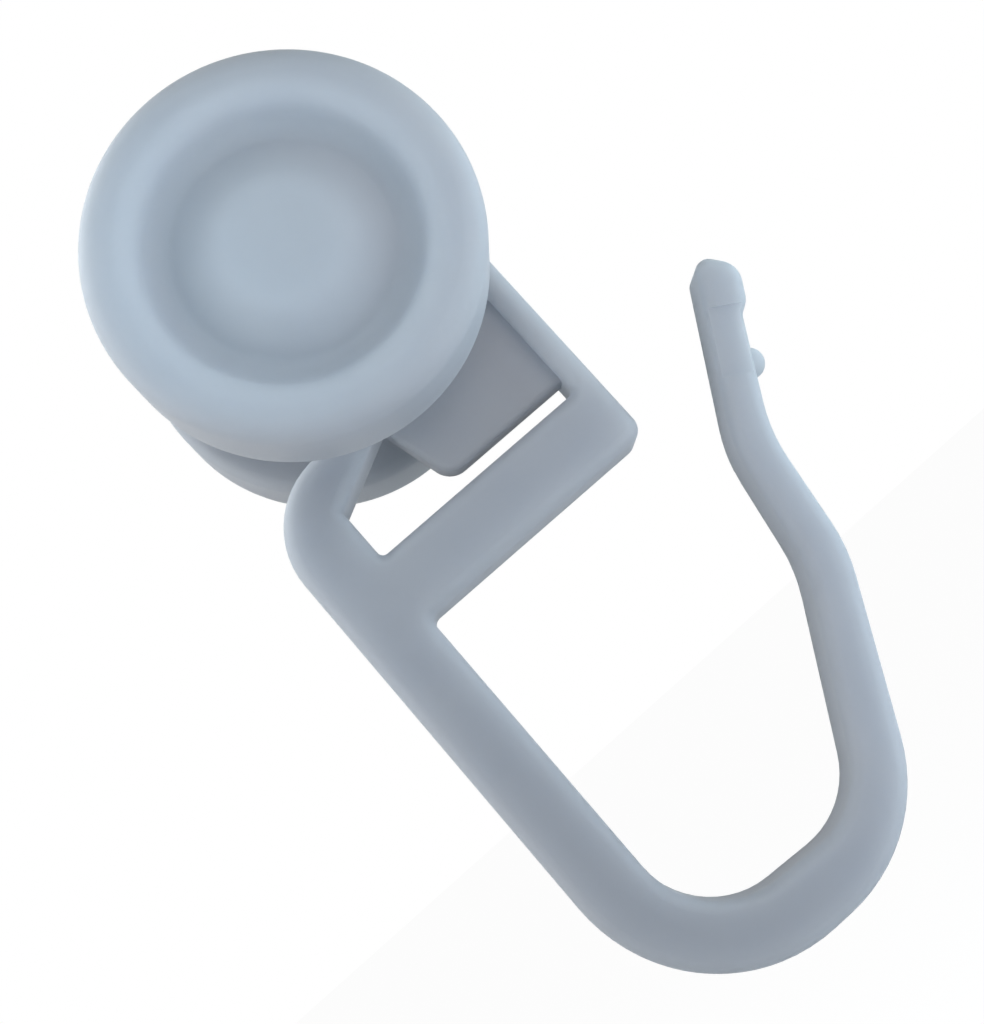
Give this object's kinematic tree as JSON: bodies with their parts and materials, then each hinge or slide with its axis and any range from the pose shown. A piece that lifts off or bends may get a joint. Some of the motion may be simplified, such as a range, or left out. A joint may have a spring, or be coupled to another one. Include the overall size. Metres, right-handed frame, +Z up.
{
  "type": "curtain glider",
  "caption": "Milky plastic curtain rail roller: dished wheels on stub axles carry a flat open hook with a framed neck and a curved arm for the loops of a curtain tape.",
  "frame": {"origin": "middle of the axle, half way between the wheels", "axes": "+X along the rail towards the hook's mouth, +Y along the axle from the front wheel to the rear wheel, +Z up"},
  "size_m": [0.017, 0.012, 0.0316],
  "materials": {
    "milky_plastic": "waxy satin, slightly translucent"
  },
  "bodies": {
    "hook_body": {"hook": "milky_plastic"},
    "front_roller": {"front_wheel": "milky_plastic"},
    "rear_roller": {"rear_wheel": "milky_plastic"}
  },
  "joints": [
    {"name": "front_wheel_spin", "type": "hinge", "parent": "hook_body", "child": "front_roller", "pos_m": [0, -0.00425, 0], "axis": [0, 1, 0], "continuous": true},
    {"name": "rear_wheel_spin", "type": "hinge", "parent": "hook_body", "child": "rear_roller", "pos_m": [0, 0.00425, 0], "axis": [0, 1, 0], "continuous": true}
  ]
}
